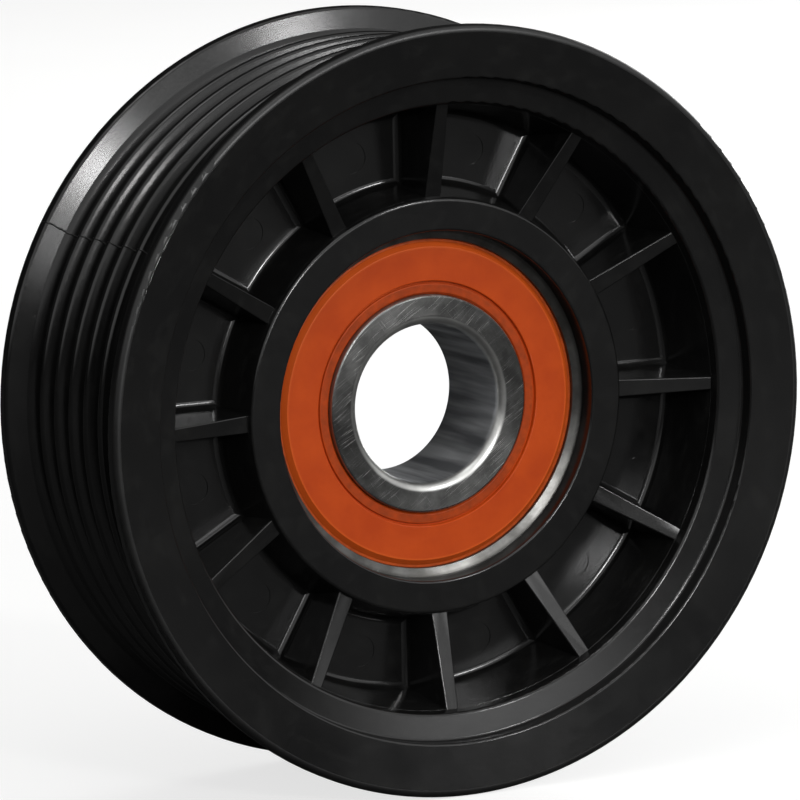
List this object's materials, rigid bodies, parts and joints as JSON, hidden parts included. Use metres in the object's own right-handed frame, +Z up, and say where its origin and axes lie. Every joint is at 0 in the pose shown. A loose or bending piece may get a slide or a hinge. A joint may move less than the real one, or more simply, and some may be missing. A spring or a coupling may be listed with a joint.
{
  "type": "ribbed belt idler pulley",
  "caption": "Ribbed belt idler pulley: a moulded wheel with flanged poly-V grooves and radial stiffening ribs, turning on a sealed deep-groove ball bearing with an open bore.",
  "frame": {"origin": "centre of the bearing, on the wheel's axis and mid-plane", "axes": "+Y along the axis the wheel turns on, pointing out of the rear face; the front face looks along -Y; +Z up"},
  "size_m": [0.082, 0.0284, 0.082],
  "materials": {
    "black_nylon": "moulded glass-filled nylon, fine grain, semi-matte",
    "ground_steel": "ground bearing steel with fine turning marks",
    "polished_steel": "lapped bright steel",
    "cage_steel": "stamped sheet steel",
    "orange_rubber": "moulded rubber, smooth satin"
  },
  "bodies": {
    "inner_ring": {"bearing_inner_ring": "ground_steel"},
    "pulley": {"pulley_body": "black_nylon", "bearing_outer_ring": "ground_steel", "front_seal_rubber": "orange_rubber", "front_seal_insert": "cage_steel", "rear_seal_rubber": "orange_rubber", "rear_seal_insert": "cage_steel"},
    "cage": {"cage_front_half": "cage_steel", "cage_rear_half": "cage_steel", "cage_rivets": "cage_steel"},
    "ball_1": {"ball_1": "polished_steel"},
    "ball_2": {"ball_2": "polished_steel"},
    "ball_3": {"ball_3": "polished_steel"},
    "ball_4": {"ball_4": "polished_steel"},
    "ball_5": {"ball_5": "polished_steel"},
    "ball_6": {"ball_6": "polished_steel"},
    "ball_7": {"ball_7": "polished_steel"},
    "ball_8": {"ball_8": "polished_steel"}
  },
  "joints": [
    {"name": "pulley_spin", "type": "hinge", "parent": "inner_ring", "child": "pulley", "pos_m": [0, 0, 0], "axis": [0, 1, 0], "continuous": true},
    {"name": "cage_spin", "type": "hinge", "parent": "inner_ring", "child": "cage", "pos_m": [0, 0, 0], "axis": [0, 1, 0], "continuous": true},
    {"name": "ball_1_spin", "type": "hinge", "parent": "cage", "child": "ball_1", "pos_m": [0, 0, 0.01425], "axis": [0, 1, 0], "continuous": true},
    {"name": "ball_2_spin", "type": "hinge", "parent": "cage", "child": "ball_2", "pos_m": [0.01008, 0, 0.01008], "axis": [0, 1, 0], "continuous": true},
    {"name": "ball_3_spin", "type": "hinge", "parent": "cage", "child": "ball_3", "pos_m": [0.01425, 0, 0], "axis": [0, 1, 0], "continuous": true},
    {"name": "ball_4_spin", "type": "hinge", "parent": "cage", "child": "ball_4", "pos_m": [0.01008, 0, -0.01008], "axis": [0, 1, 0], "continuous": true},
    {"name": "ball_5_spin", "type": "hinge", "parent": "cage", "child": "ball_5", "pos_m": [0, 0, -0.01425], "axis": [0, 1, 0], "continuous": true},
    {"name": "ball_6_spin", "type": "hinge", "parent": "cage", "child": "ball_6", "pos_m": [-0.01008, 0, -0.01008], "axis": [0, 1, 0], "continuous": true},
    {"name": "ball_7_spin", "type": "hinge", "parent": "cage", "child": "ball_7", "pos_m": [-0.01425, 0, 0], "axis": [0, 1, 0], "continuous": true},
    {"name": "ball_8_spin", "type": "hinge", "parent": "cage", "child": "ball_8", "pos_m": [-0.01008, 0, 0.01008], "axis": [0, 1, 0], "continuous": true}
  ],
  "couplings": [
    {"joint": "cage_spin", "follows": "pulley_spin", "ratio": 0.61837},
    {"joint": "ball_1_spin", "follows": "pulley_spin", "ratio": 1.9937},
    {"joint": "ball_2_spin", "follows": "pulley_spin", "ratio": 1.9937},
    {"joint": "ball_3_spin", "follows": "pulley_spin", "ratio": 1.9937},
    {"joint": "ball_4_spin", "follows": "pulley_spin", "ratio": 1.9937},
    {"joint": "ball_5_spin", "follows": "pulley_spin", "ratio": 1.9937},
    {"joint": "ball_6_spin", "follows": "pulley_spin", "ratio": 1.9937},
    {"joint": "ball_7_spin", "follows": "pulley_spin", "ratio": 1.9937},
    {"joint": "ball_8_spin", "follows": "pulley_spin", "ratio": 1.9937}
  ]
}
